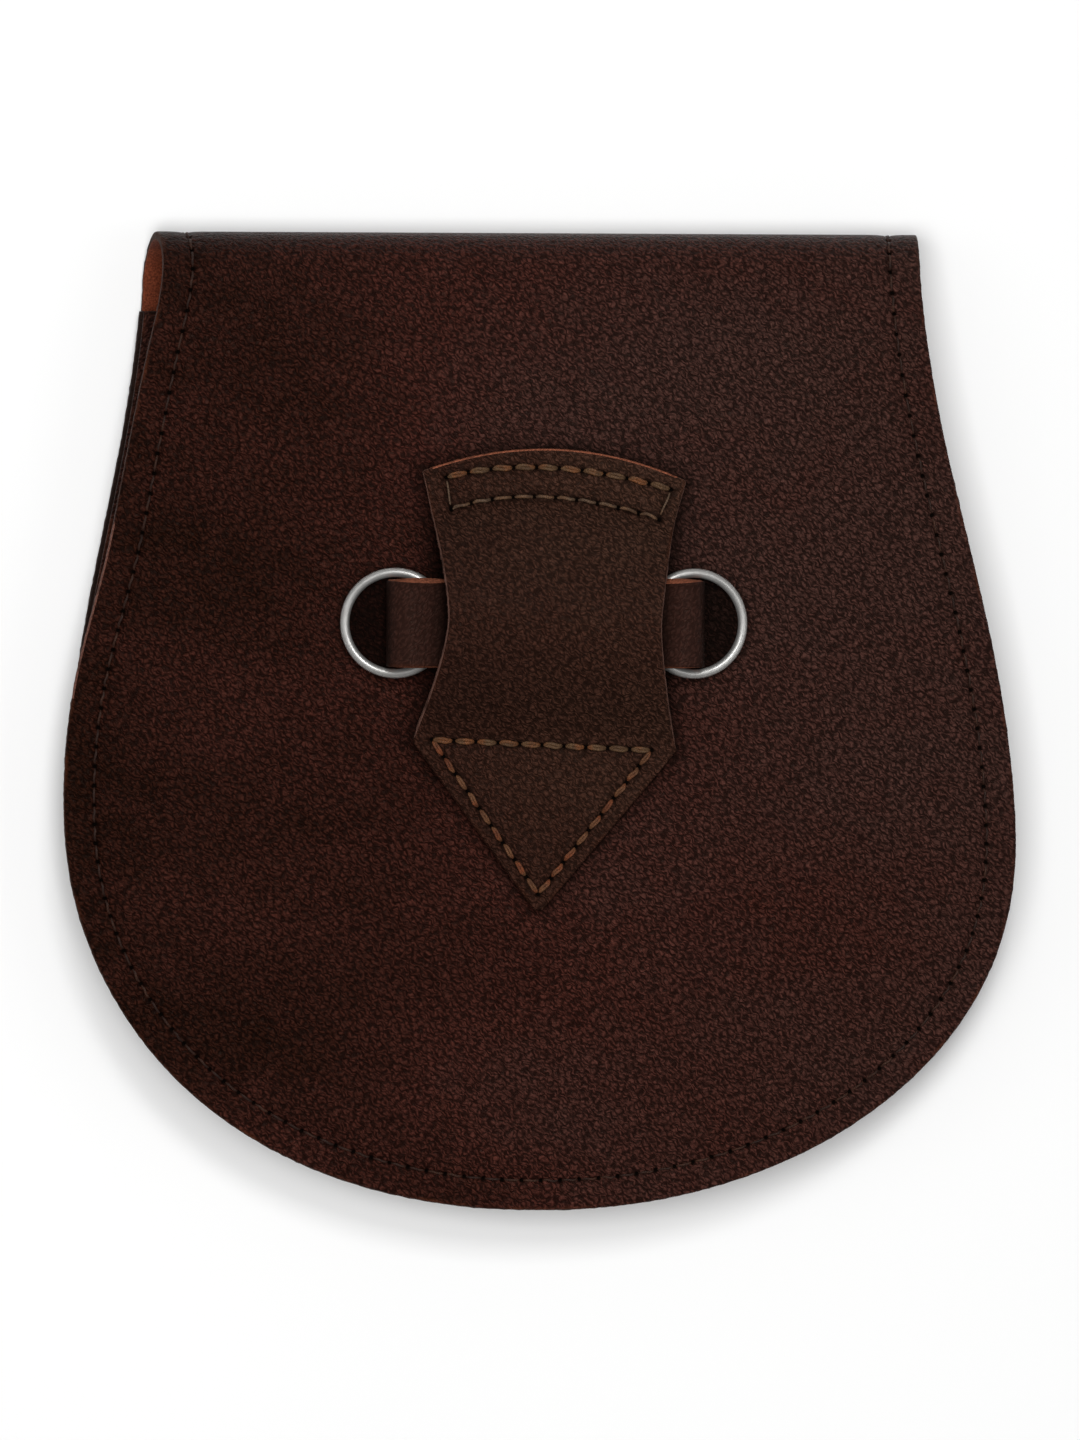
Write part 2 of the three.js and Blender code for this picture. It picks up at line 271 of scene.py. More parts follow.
def mirrored_outline(right):
    """Closed anticlockwise outline from its right half, which runs upwards from tip to tip."""
    left = right[::-1] * (-1, 1)
    return np.vstack([right, left[1:-1]])


def body_outline():
    bottom = end_arc(BACK)[::-1]
    side = right_side(BACK, FOLD_Y)[::-1][1:]
    share = np.linspace(0, 1, 60)[1:]
    fold_half = float(half_width(BACK, FOLD_Y))
    fold = np.column_stack([lerp(fold_half, FLAP.top_half, share ** 2), FOLD_Y + share * FOLD_ARC])
    y = np.linspace(FLAP.top, FLAP.widest, 120)[1:]
    flap_side = np.column_stack([half_width(FLAP, y), FLAP_V + FLAP.top - y])
    flap_end = end_arc(FLAP)[1:]
    flap_end = np.column_stack([flap_end[:, 0], FLAP_V + FLAP.top - flap_end[:, 1]])
    return mirrored_outline(np.vstack([bottom, side, fold, flap_side, flap_end]))


def rim_line(shape):
    """Edge of a panel below the mouth, from the right end round the bottom to the left end."""
    right = np.vstack([right_side(shape, MOUTH_Y), end_arc(shape)[1:]])
    return np.vstack([right, (right[::-1] * (-1, 1))[1:]])


# Meshes

# Tone of the leather: the middle, cloud and blotch terms are uneven dye. The other three are painted light:
# lighter towards the right, a painted sheen round the upper right, and lighter towards the bottom.
DYE_AND_PAINTED_LIGHT = Group(middle=0.46, cloud=0.10, blotch=0.05, to_right=0.0045, faded=0.38, low=0.12)
PAINTED_SHEEN_SPOT = Group(u=28.0, v=52.0, reach=62.0)
PAINTED_LIGHT_LOW = Group(start=45.0, run=55.0)
WORN = Group(share=0.1, spread=0.45, reach=0.9)
# Painted shade in the stitch holes, and how dark the other painted shade is
HOLE_SHADE = Group(start=0.05, run=0.45)
PAINTED_SHADE_DEPTH = 0.93
CLOUD_RIPPLE = Ripple(11, 40, 110)
BLOTCH_RIPPLE = Ripple(12, 6, 18, 24)
WORN_RIPPLE = Ripple(13, 5, 16, 24)


def linked(name, data):
    thing = bpy.data.objects.new(name, data)
    bpy.context.scene.collection.objects.link(thing)
    return thing


def new_object(name, points, faces, materials, indices, attributes):
    mesh = bpy.data.meshes.new(name)
    mesh.from_pydata((np.asarray(points) * MM).tolist(), [], faces)
    for material in materials:
        mesh.materials.append(material)
    mesh.polygons.foreach_set("material_index", np.asarray(indices, np.int32))
    mesh.polygons.foreach_set("use_smooth", np.ones(len(faces), bool))
    for key, values in attributes.items():
        values = np.asarray(values, np.float32)
        if values.ndim == 2:
            layer = mesh.attributes.new(key, "FLOAT_VECTOR", "POINT")
            layer.data.foreach_set("vector", np.pad(values, ((0, 0), (0, 1))).ravel())
        else:
            layer = mesh.attributes.new(key, "FLOAT", "POINT")
            layer.data.foreach_set("value", values)
    mesh.update()
    return linked(name, mesh)


def keep(piece, body, slot=None, *nodes):
    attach(piece, body)
    if nodes:
        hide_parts(*nodes)
    return piece


TURNED_OVER = [0, 3, 2, 1]


def grid_faces(rows, columns, *, rows_close=False, columns_close=True):
    """Faces of a grid of points, which may close on itself either way."""
    here = np.arange(rows * columns).reshape(rows, columns)
    ahead = np.roll(here, -1, 0)
    faces = np.stack([here, np.roll(here, -1, 1), np.roll(ahead, -1, 1), ahead], axis=2)
    return faces[:rows if rows_close else -1, :columns if columns_close else -1].reshape(-1, 4)


def tube_faces(rows, columns):
    """Faces of a tube with closed ends."""
    ends = [list(range(columns))[::-1], list(range((rows - 1) * columns, rows * columns))]
    return grid_faces(rows, columns).tolist() + ends


def tree_of(points):
    tree = KDTree(len(points))
    for i, (x, y) in enumerate(points):
        tree.insert((x, y, 0), i)
    tree.balance()
    return tree


def nearest(tree, points):
    return np.array([tree.find((x, y, 0))[2] for x, y in points]) if len(points) else np.zeros(0)


def inside(points, outline):
    x, y = points.T
    result = np.zeros(len(points), bool)
    for (x0, y0), (x1, y1) in zip(outline, np.roll(outline, -1, 0)):
        if y0 != y1:
            crosses = (y0 > y) != (y1 > y)
            result ^= crosses & (x < x0 + (y - y0) / (y1 - y0) * (x1 - x0))
    return result


def normals_of(place, uv, step=0.05):
    du = place(uv + (step, 0)) - place(uv - (step, 0))
    dv = place(uv + (0, step)) - place(uv - (0, step))
    return unit(np.cross(du, dv))


def edge_depth(inset, bevel):
    """How far a face has rounded off at a distance from its edge."""
    gone = np.clip(1 - inset / bevel, 0, 1)
    return bevel * (1 - np.sqrt(1 - gone ** 2))


def flat_points(outline, rings, spacing, holes=(), lines=()):
    """Points of a flat pattern: its edge, stitch holes, rings inside the edge, lines and a lattice.
    Gives the points, their distances from the edge, and how deep in a stitch hole they are."""
    edge = tree_of(np.vstack([lerp(outline, np.roll(outline, -1, 0), k / 4) for k in range(4)]))
    hole_tree = tree_of(holes) if len(holes) else None
    sets = []

    def add(points, inset, hole=0.0):
        sets.append((points, np.broadcast_to(inset, len(points)), np.full(len(points), hole)))

    def clear_of_holes(points):
        return nearest(hole_tree, points) > CLEAR_OF_HOLE if len(holes) else np.ones(len(points), bool)

    add(outline, 0.0)
    if len(holes):
        for radius, count, depth in HOLE_RINGS:
            points = (holes[:, None] + radius * circle(count)[None]).reshape(-1, 2)
            add(points, nearest(edge, points), depth)
    for inset in rings:
        points = outline + inward(outline) * inset
        points = points[(nearest(edge, points) > RING_KEPT * inset) & inside(points, outline)]
        add(points[clear_of_holes(points)], inset)
    if len(lines):
        points = lines[clear_of_holes(lines) & inside(lines, outline)]
        depth = nearest(edge, points)
        free = depth > rings[-1] + CLEAR_OF_RING
        add(points[free], depth[free])
    taken = tree_of(np.vstack([points for points, *_ in sets[1:]]))
    low, high = outline.min(0), outline.max(0)
    xs = np.arange(low[0], high[0], spacing)
    ys = np.arange(low[1], high[1], spacing * math.sqrt(3) / 2)
    grid = np.array([(x + spacing / 2 * (k % 2), y) for k, y in enumerate(ys) for x in xs])
    grid = grid[inside(grid, outline)]
    depth = nearest(edge, grid)
    free = depth > rings[-1] + LATTICE.from_ring * spacing
    free &= nearest(taken, grid) > LATTICE.clear * spacing
    add(grid[free], depth[free])
    return [np.concatenate(values) for values in zip(*sets)]


def triangulate(points, border):
    """Triangles between points, inside the edge that the first of them make."""
    edges = [(i, (i + 1) % border) for i in range(border)]
    found = delaunay_2d_cdt([Vector(p) for p in points], edges, [], 1, 1e-5)
    origin = np.array([ids[0] for ids in found[3]])
    return origin[np.array(found[2])]


def wear_and_painted_light(flat, inset, hole, painted_dark):
    """Uneven dye and worn edges of a leather, with painted light and shade, by the place on its pattern: a
    painted sheen towards the upper right, painted light towards the right and the bottom, and painted shade
    in stitch holes and in the marks that the last argument gives.
    """
    u, v = flat.T
    # Painted sheen round the upper right, and painted light towards the bottom
    faded = bell(np.hypot(u - PAINTED_SHEEN_SPOT.u, v - PAINTED_SHEEN_SPOT.v), 0, PAINTED_SHEEN_SPOT.reach)
    low = eased(-v, PAINTED_LIGHT_LOW)
    tone = (DYE_AND_PAINTED_LIGHT.middle + DYE_AND_PAINTED_LIGHT.cloud * CLOUD_RIPPLE(u, v) + DYE_AND_PAINTED_LIGHT.blotch * BLOTCH_RIPPLE(u, v)
            + DYE_AND_PAINTED_LIGHT.to_right * u + DYE_AND_PAINTED_LIGHT.faded * faded + DYE_AND_PAINTED_LIGHT.low * low)
    edge = smooth(WORN.share + WORN.spread * WORN_RIPPLE(u, v)) * smooth(1 - inset / WORN.reach)
    # Painted shade: dark in the stitch holes and where the painted shade marks lie
    dark = np.maximum(eased(hole, HOLE_SHADE), PAINTED_SHADE_DEPTH * painted_dark)
    return {"flat": flat, "tone": np.clip(tone, 0, 1), "edge": edge, "dark": dark}


def leather_sheet(name, outline, place, thickness, materials, *, rings, spacing, holes=(), lines=(),
                  relief=None, bevel=SHEET_BEVEL, edge_line=None, kind=None, painted_shade=None, inner=None):
    """A piece of leather from its flat pattern: a grain face with seams, a flesh face and a cut edge.
    The materials are grain, flesh and one or more kinds of cut edge, and kind says which of these is where.
    relief is how far the grain face is pressed in, and another function how much painted shade the grain face
    gets.
    inner gives the material's number on the flesh side, by the distance from the edge.
    edge_line is how far the cut shows on the grain face, by the place."""
    holes = np.asarray(holes, float).reshape(-1, 2)
    lines = np.asarray(lines, float).reshape(-1, 2)
    count = len(outline)
    uv, inset, hole = flat_points(outline, rings, spacing, holes, lines)
    normal = normals_of(place, uv)
    depth = edge_depth(inset, bevel) + HOLE_DEPTH * hole
    if relief:
        depth = depth + relief(uv, inset)
    top = place(uv) - normal * depth[:, None]
    top_faces = triangulate(uv, count)

    rings = [bevel * FLESH_SIDE.bevel_share, bevel, FLESH_SIDE.ring]
    back_uv, back_inset, _ = flat_points(outline, rings, spacing * FLESH_SIDE.coarser)
    back_normal = normals_of(place, back_uv)
    under = place(back_uv) - back_normal * (thickness - edge_depth(back_inset, bevel))[:, None]
    shift = len(top)
    flesh_faces = triangulate(back_uv, count)

    # The cut edge, slightly rough
    along = np.roll(top[:count], -1, 0) - np.roll(top[:count], 1, 0)
    outward = unit(np.cross(along, normal[:count]))
    walls = [np.arange(count)]
    points = [top, under]
    total = len(top) + len(under)
    fray = RANDOM.normal(0, EDGE_ROUGHNESS, (EDGE_LEVELS, count))
    for k in range(1, EDGE_LEVELS):
        share = k / EDGE_LEVELS
        ring = lerp(top[:count], under[:count], share)
        ring = ring + outward * (EDGE_BULGE * math.sin(math.pi * share) + fray[k])[:, None]
        points.append(ring)
        walls.append(np.arange(count) + total)
        total += count
    walls.append(np.arange(count) + shift)
    wall_faces = []
    for upper, lower in zip(walls, walls[1:]):
        wall_faces += np.column_stack([upper, lower, np.roll(lower, -1), np.roll(upper, -1)]).tolist()

    middle, reach = uv[top_faces].mean(1), inset[top_faces].max(1)
    shown = edge_line(middle) if edge_line else EDGE_LINE
    kinds = [kind(at) if kind else np.zeros(len(at), int) for at in (middle, outline)]
    indices = list(np.where(reach <= shown, 2 + kinds[0], 0))
    indices += list(inner(back_inset[flesh_faces].mean(1))) if inner else [1] * len(flesh_faces)
    indices += list(np.tile(2 + kinds[1], EDGE_LEVELS))
    points = np.vstack(points)
    rest = len(points) - len(top)
    # Painted shade on the grain face
    painted_dark = painted_shade(top) if painted_shade else np.zeros(len(top))
    attributes = wear_and_painted_light(
        np.vstack([uv, back_uv, np.tile(outline, (EDGE_LEVELS - 1, 1))]),
        np.concatenate([inset, back_inset, np.zeros(rest - len(under))]),
        np.pad(hole, (0, rest)), np.pad(painted_dark, (0, rest)))
    faces = top_faces.tolist() + (flesh_faces[:, ::-1] + shift).tolist() + wall_faces
    return new_object(name, points, faces, materials, indices, attributes)


def leather_band(name, face, inset, thickness, materials, *, flip=False, cut_back=0.0, painted_dark=None):
    """A band of leather from a grid of points on its face, with each point's distance from a cut edge.
    The other face lies behind it. flip swaps which of the two is the grain, cut_back moves the face's points
    so that the cut edge shows, and the last argument is how much painted shade each point gets."""
    rows, columns = inset.shape
    normal = unit(np.cross(np.gradient(face, axis=1), np.gradient(face, axis=0)))
    depth = edge_depth(inset, BAND_BEVEL)[..., None]
    front = face - normal * depth + cut_back
    behind = face - normal * (thickness - depth)
    size = rows * columns
    at = np.arange(size).reshape(rows, columns)
    sheet = grid_faces(rows, columns, columns_close=False)
    borders = [np.column_stack([line[:-1], line[:-1] + size, line[1:] + size, line[1:]])
               for line in (at[:, -1], at[::-1, 0], at[0], at[-1, ::-1])]
    faces = np.vstack([sheet, sheet[:, TURNED_OVER] + size, *borders]).tolist()
    indices = np.repeat([1, 0, 2] if flip else [0, 1, 2],
                        [len(sheet), len(sheet), len(faces) - 2 * len(sheet)])
    points = np.concatenate([front.reshape(-1, 3), behind.reshape(-1, 3)])
    down = np.pad(np.linalg.norm(np.diff(face, axis=0), axis=2).cumsum(0), ((1, 0), (0, 0)))
    across = np.pad(np.linalg.norm(np.diff(face, axis=1), axis=2).cumsum(1), ((0, 0), (1, 0)))
    flat = np.stack([across, down.mean(1, keepdims=True) + 0 * across], axis=2).reshape(-1, 2)
    painted_dark = np.zeros(inset.shape) if painted_dark is None else painted_dark
    attributes = wear_and_painted_light(np.tile(flat, (2, 1)), np.tile(inset.ravel(), 2), np.zeros(2 * size),
                            np.tile(painted_dark.ravel(), 2))
    return new_object(name, points, faces, materials, indices, attributes)


class Thread:
    """Collects stitches as twisted tubes, which become one mesh."""

    def __init__(self):
        self.points, self.faces, self.indices, self.count = [], [], [], 0

    def tube(self, path, up, radius, index):
        sides, rows = THREAD.sides, len(path)
        tangent = unit(np.gradient(path, axis=0))
        side = unit(np.cross(tangent, up))
        over = np.cross(side, tangent)
        turn = turns(sides)
        twist = 2 * np.pi * distance_along(path)[:, None] / THREAD.lay
        size = radius * (1 + THREAD.ply_depth * np.cos(THREAD.plies * turn[None] + twist))
        ring = path[:, None] + size[..., None] * (
            np.cos(turn)[None, :, None] * side[:, None] + np.sin(turn)[None, :, None] * over[:, None])
        faces = tube_faces(rows, sides)
        self.points.append(ring.reshape(-1, 3))
        self.faces += [[self.count + i for i in face] for face in faces]
        self.indices += [index] * len(faces)
        self.count += rows * sides

    def sew(self, place, holes, radius, rise, *, closed=False, index=0, strands=1):
        """One stitch from each hole to the next, lying on the face that place gives and diving at both ends,
        a little short of the holes' middles."""
        following = np.roll(holes, -1, 0) if closed else holes[1:]
        for a, b in zip(holes, following):
            t = (1 - np.cos(np.pi * np.linspace(0, 1, STITCH.steps))) / 2
            crown = np.sqrt(np.sin(np.pi * t))
            run = unit(b - a)
            a, b = a + run * STITCH.short, b - run * STITCH.short
            sideways = np.array([-run[1], run[0]])
            slant = RANDOM.normal(STITCH.slant, STITCH.slant_spread)
            lift = rise * RANDOM.uniform(*STITCH.rises)
            for strand in range(strands):
                offset = (strand - (strands - 1) / 2) * STITCH.strand_gap * radius
                shift = offset * crown + slant * np.sin(2 * np.pi * t) * STITCH.wave
                flat = lerp(a[None], b[None], t[:, None]) + sideways * shift[:, None]
                normal = normals_of(place, flat)
                path = place(flat) + normal * lerp(-STITCH.sink, lift, crown)[:, None]
                self.tube(path, normal, radius * RANDOM.uniform(*STITCH.radii), index)

    def mesh(self, name, materials):
        points = np.vstack(self.points)
        return new_object(name, points, self.faces, materials, self.indices, {})


# Materials

class Shader:
    """A node material that is put together by code. Coordinates are millimetres: mm in space, and flat on
    a leather's cut pattern."""

    def __init__(self, name):
        self.material = bpy.data.materials.new(name)
        self.material.use_nodes = True
        self.nodes = self.material.node_tree.nodes
        self.links = self.material.node_tree.links
        self.nodes.clear()
        self.mm = self.scaled(self.add("ShaderNodeTexCoord").outputs["Object"], 1 / MM)
        self.flat = self.add("ShaderNodeAttribute", attribute_name="flat").outputs["Vector"]

    def put(self, socket, value):
        if isinstance(value, bpy.types.NodeSocket):
            self.links.new(value, socket)
        elif isinstance(value, tuple) and len(value) == 3 and socket.type == "RGBA":
            socket.default_value = (*value, 1)
        else:
            socket.default_value = value

    def add(self, kind, inputs=(), **settings):
        node = self.nodes.new(kind)
        for key, value in settings.items():
            setattr(node, key, value)
        pairs = inputs.items() if isinstance(inputs, dict) else enumerate(inputs)
        for key, value in pairs:
            self.put(node.inputs[key], value)
        return node

    def math(self, operation, *values):
        return self.add("ShaderNodeMath", values, operation=operation).outputs[0]

    def noise(self, scale, detail=2.0, roughness=0.5, at=None, output="Fac", **settings):
        inputs = {"Vector": self.mm if at is None else at, "Scale": scale, "Detail": detail,
                  "Roughness": roughness}
        return self.add("ShaderNodeTexNoise", inputs, **settings).outputs[output]

    def flat_cells(self, scale, at):
        """Distance from the middle of a cell, in cells."""
        inputs = {"Vector": at, "Scale": scale}
        node = self.add("ShaderNodeTexVoronoi", inputs, feature="F1", voronoi_dimensions="2D")
        return node.outputs["Distance"]

    def ramp(self, value, low, high, out_low=0.0, out_high=1.0):
        node = self.add("ShaderNodeMapRange", [value, low, high, out_low, out_high],
                        interpolation_type="SMOOTHSTEP")
        return node.outputs[0]

    def mix(self, share, a, b):
        node = self.add("ShaderNodeMix", {"Factor": share, "A": a, "B": b}, data_type="RGBA")
        return node.outputs["Result"]

    def tones(self, value, *colors):
        """Colours at even steps of a value from 0 to 1."""
        node = self.add("ShaderNodeValToRGB", [value])
        stops = node.color_ramp.elements
        while len(stops) < len(colors):
            stops.new(1.0)
        for i, color in enumerate(colors):
            stops[i].position = i / (len(colors) - 1)
            stops[i].color = (*color, 1)
        return node.outputs["Color"]

    def value(self, name):
        return self.add("ShaderNodeAttribute", attribute_name=name).outputs["Fac"]

    def scaled(self, vector, amount):
        inputs = {"Vector": vector, "Scale": amount}
        return self.add("ShaderNodeVectorMath", inputs, operation="SCALE").outputs[0]

    def vectors(self, operation, a, b):
        return self.add("ShaderNodeVectorMath", [a, b], operation=operation).outputs[0]

    def warped(self, scale, amount, slant, stretch):
        """Flat coordinates pushed about by noise and stretched on a slant, for less regular cells."""
        noise = self.noise(scale, 1.0, at=self.flat, output="Color", noise_dimensions="2D")
        centred = self.vectors("SUBTRACT", noise, (0.5, 0.5, 0.5))
        pushed = self.vectors("ADD", self.flat, self.scaled(centred, amount))
        settings = {"Vector": pushed, "Rotation": (0, 0, slant), "Scale": (1 / stretch, stretch, 1)}
        return self.add("ShaderNodeMapping", settings, vector_type="TEXTURE").outputs[0]

    def bump(self, height, depth):
        inputs = {"Height": height, "Distance": depth * MM, "Strength": 1.0}
        return self.add("ShaderNodeBump", inputs).outputs[0]

    def finish(self, **inputs):
        surface = self.add("ShaderNodeBsdfPrincipled", {k.replace("_", " "): v for k, v in inputs.items()})
        self.add("ShaderNodeOutputMaterial", {"Surface": surface.outputs[0]})
        return self.material


GRAIN_WARP = Group(scale=0.7, amount=1.3, slant=0.9, stretch=1.5)
WRINKLE = Group(scale=1.4, height=0.75)
DOME = Group(falloff=0.015, height=0.48)
GRAIN_SHADE = Group(low=0.38, high=1.35, darker=0.6, lighter=3.0)
WORN_COLOR = (0.10, 0.028, 0.012)
# Near black of the painted shade
PAINTED_SHADE_COLOR = (0.0012, 0.0007, 0.0005)


def grain_leather(name, deep, middle, light, pebble=0.86, relief=0.42, contrast=1.05, wear=0.5):
    """Pebbled dark leather: rounded grains with painted shade in the creases and painted highlights on the
    tops, uneven tone, worn edges, and painted shade in stitch holes and other shaded places."""
    s = Shader(name)
    at = s.warped(**vars(GRAIN_WARP))
    cell = s.flat_cells(1 / pebble, at)
    wrinkle = s.noise(WRINKLE.scale / pebble, 2.0, 0.6, at=at, noise_dimensions="2D")
    dome = s.math("POWER", DOME.falloff, s.math("MULTIPLY", cell, cell))
    height = s.math("MULTIPLY_ADD", wrinkle, WRINKLE.height, s.math("MULTIPLY", dome, DOME.height))
    # Painted light on the grain: the creases darker as shade and the dome tops lighter as highlights
    shade = s.ramp(height, GRAIN_SHADE.low, GRAIN_SHADE.high, 1 - GRAIN_SHADE.darker * contrast,
                   1 + GRAIN_SHADE.lighter * contrast)
    color = s.scaled(s.tones(s.value("tone"), deep, middle, light), shade)
    color = s.mix(s.math("MULTIPLY", s.value("edge"), wear), color, WORN_COLOR)
    # Painted shade: stitch holes and the shaded places round the loop, its seams, the rings and the strap go
    # near black
    dark = s.value("dark")
    color = s.mix(dark, color, PAINTED_SHADE_COLOR)
    rough = s.math("MULTIPLY_ADD", dark, 0.4, 0.38)
    normal = s.bump(height, relief)
    return s.finish(Base_Color=color, Roughness=rough, Normal=normal, Specular_IOR_Level=0.07,
                    Specular_Tint=(1.0, 0.75, 0.62, 1.0))


def flesh_leather(name, dark, light):
    """The suede-like inner side of the leather, with short fibres."""
    s = Shader(name)
    nap = s.noise(2.6, 4.0, 0.65)
    patch = s.noise(0.25, 3.0)
    color = s.mix(s.ramp(nap, 0.3, 0.72), dark, light)
    color = s.mix(s.math("MULTIPLY", s.ramp(patch, 0.45, 0.75), 0.45), color, dark)
    normal = s.bump(nap, 0.22)
    return s.finish(Base_Color=color, Roughness=0.93, Normal=normal, Specular_IOR_Level=0.08,
                    Sheen_Weight=0.04, Sheen_Roughness=0.6)


def cut_leather(name, dark, light):
    """A raw cut edge, with fibres in layers and a few dark stains."""
    s = Shader(name)
    stretch = s.vectors("MULTIPLY", s.mm, (1.0, 1.0, 4.0))
    fibre = s.noise(2.2, 4.0, 0.6, at=stretch)
    stain = s.noise(0.22, 3.0, 0.6)
    color = s.mix(s.ramp(fibre, 0.32, 0.7), dark, light)
    color = s.mix(s.ramp(stain, 0.5, 0.72, 0.0, 0.75), color, (0.02, 0.008, 0.005))
    normal = s.bump(fibre, 0.14)
    rough = s.math("MULTIPLY_ADD", stain, 0.2, 0.68)
    return s.finish(Base_Color=color, Roughness=rough, Normal=normal, Specular_IOR_Level=0.2)


def sewing_thread(name, dark, light, fresh):
    """Waxed thread with worn and dark places, and some fresher stitches."""
    s = Shader(name)
    fuzz = s.noise(5.0, 3.0, 0.6)
    worn = s.noise(0.55, 2.0)
    color = s.mix(s.ramp(s.noise(0.21, 1.0), 0.45, 0.62), light, fresh)
    color = s.mix(s.ramp(fuzz, 0.3, 0.7), dark, color)
    color = s.mix(s.ramp(worn, 0.4, 0.72, 0.0, 0.6), color, dark)
    normal = s.bump(fuzz, 0.06)
    return s.finish(Base_Color=color, Roughness=s.math("MULTIPLY_ADD", worn, 0.2, 0.5), Normal=normal,
                    Specular_IOR_Level=0.3)


def nickel(name):
    """Plated steel wire with fine scratches and slight dullness."""
    s = Shader(name)
    stretch = s.vectors("MULTIPLY", s.mm, (1.0, 1.0, 6.0))
    scratch = s.noise(3.5, 4.0, 0.7, at=stretch)
    dull = s.noise(0.3, 3.0)
    color = s.mix(s.ramp(dull, 0.4, 0.75, 0.0, 0.5), (0.68, 0.67, 0.65), (0.50, 0.485, 0.46))
    rough = s.math("MULTIPLY_ADD", scratch, 0.16, s.math("MULTIPLY_ADD", dull, 0.12, 0.27))
    normal = s.bump(scratch, 0.012)
    return s.finish(Base_Color=color, Roughness=rough, Metallic=0.85, Normal=normal)


PANEL_GRAIN = grain_leather("panel_grain", (0.0095, 0.0028, 0.0015), (0.0250, 0.0073, 0.0052),
                            (0.0256, 0.0110, 0.0086))
GUSSET_GRAIN = grain_leather("gusset_grain", (0.0128, 0.0040, 0.0024), (0.0190, 0.0060, 0.0045),
                             (0.0210, 0.0095, 0.0070))
LOOP_GRAIN = grain_leather("loop_grain", (0.0155, 0.0056, 0.0036), (0.0210, 0.0082, 0.0053),
                           (0.0280, 0.0128, 0.0082), pebble=0.82, relief=0.4, contrast=0.85, wear=0.25)
STRAP_GRAIN = grain_leather("strap_grain", (0.0175, 0.0068, 0.0048), (0.0185, 0.0073, 0.0053),
                            (0.0205, 0.0082, 0.0060), pebble=0.9, relief=0.14, contrast=0.45, wear=0.25)
FLESH = flesh_leather("flesh_side", (0.05, 0.0105, 0.0047), (0.165, 0.040, 0.0175))
# Dark flesh side, for the front's margin
DARK_FLESH = flesh_leather("dark_flesh", (0.0045, 0.0022, 0.0016), (0.020, 0.0095, 0.0070))
CUT = cut_leather("cut_edge", (0.09, 0.028, 0.013), (0.30, 0.095, 0.050))
WORN_CUT = cut_leather("worn_cut_edge", (0.05, 0.020, 0.014), (0.17, 0.072, 0.052))
# Raw cut edge painted paler, as a highlight on the belt loop's sides
HIGHLIT_SIDE_CUT = cut_leather("highlit_side_cut_edge", (0.05, 0.022, 0.016), (0.17, 0.084, 0.062))
DARK_CUT = cut_leather("dark_cut_edge", (0.010, 0.0040, 0.0026), (0.055, 0.018, 0.009))
RIM_THREAD = sewing_thread("rim_thread", (0.007, 0.0028, 0.0020), (0.033, 0.0140, 0.0088),
                           (0.057, 0.0225, 0.0122))
OCHRE_THREAD = sewing_thread("ochre_thread", (0.026, 0.012, 0.006), (0.122, 0.067, 0.032),
                             (0.19, 0.068, 0.024))
RUST_THREAD = sewing_thread("rust_thread", (0.035, 0.012, 0.006), (0.15, 0.068, 0.030),
                            (0.20, 0.055, 0.020))
BROWN_THREAD = sewing_thread("brown_thread", (0.025, 0.014, 0.009), (0.13, 0.080, 0.048),
                             (0.15, 0.075, 0.036))
NICKEL = nickel("nickel_wire")


# Back and flap

def ring_points():
    """Where the rings' middles lie, seen from above."""
    return [(STRAP.x + side * RING.offset, STRAP.y) for side in (-1, 1)]


def loop_frame(x, y):
    """Place along and across the belt loop of a point seen from above."""
    dx, dy = np.asarray(x) - LOOP.centre[0], np.asarray(y) - LOOP.centre[1]
    return np.column_stack(rotated(dx, dy, -LOOP.turn))


def loop_half(along):
    along = np.asarray(along, float)
    tip = lerp(LOOP.tip_half, LOOP.corner_half,
               (along - LOOP.tip) / (LOOP.corner - LOOP.tip))
    high = np.clip((along - LOOP.waist) / (LOOP.top - LOOP.waist), 0, None)
    low = np.clip((along - LOOP.waist) / (LOOP.corner - LOOP.waist), 0, None)
    upper = lerp(LOOP.waist_half, LOOP.top_half, high ** LOOP.power)
    lower = lerp(LOOP.waist_half, LOOP.corner_half, low ** LOOP.power)
    return np.where(along < LOOP.corner, tip, np.where(along > LOOP.waist, upper, lower))


def loop_outline():
    """Outline of the belt loop in its own frame, anticlockwise from the tip."""
    tip = np.linspace(LOOP.tip, LOOP.corner, 40)
    side = np.linspace(LOOP.corner, LOOP.top, 60)[1:]
    along = np.concatenate([tip, side])
    right = np.column_stack([loop_half(along), along])
    across = np.linspace(1, -1, 80)[1:-1]
    arc = np.column_stack([across * LOOP.top_half, LOOP.top + LOOP.rise * (1 - across ** 2)])
    left = right[::-1] * (-1, 1)
    return np.vstack([right, arc, left])


LOOP_OUTLINE = resample(loop_outline(), 460, True)
LOOP_TREE = tree_of(LOOP_OUTLINE)
# Painted shade round the belt loop's edge and under its arch, and painted shadow along and inside the rings
BACK_SHADE_AREA = Group(half=60.0, low=-60.0, high=75.0, under_arch=2.0, arch_half=25.0)
SHADE_ROUND_LOOP = Group(shade=0.55, reach=1.6)
SHADE_UNDER_ARCH = Group(shade=1.0, reach=4.0)
SHADE_BY_WIRE = Group(shade=0.7, reach=1.7)
SHADE_IN_RING = Group(shade=0.9, fade=2.0)


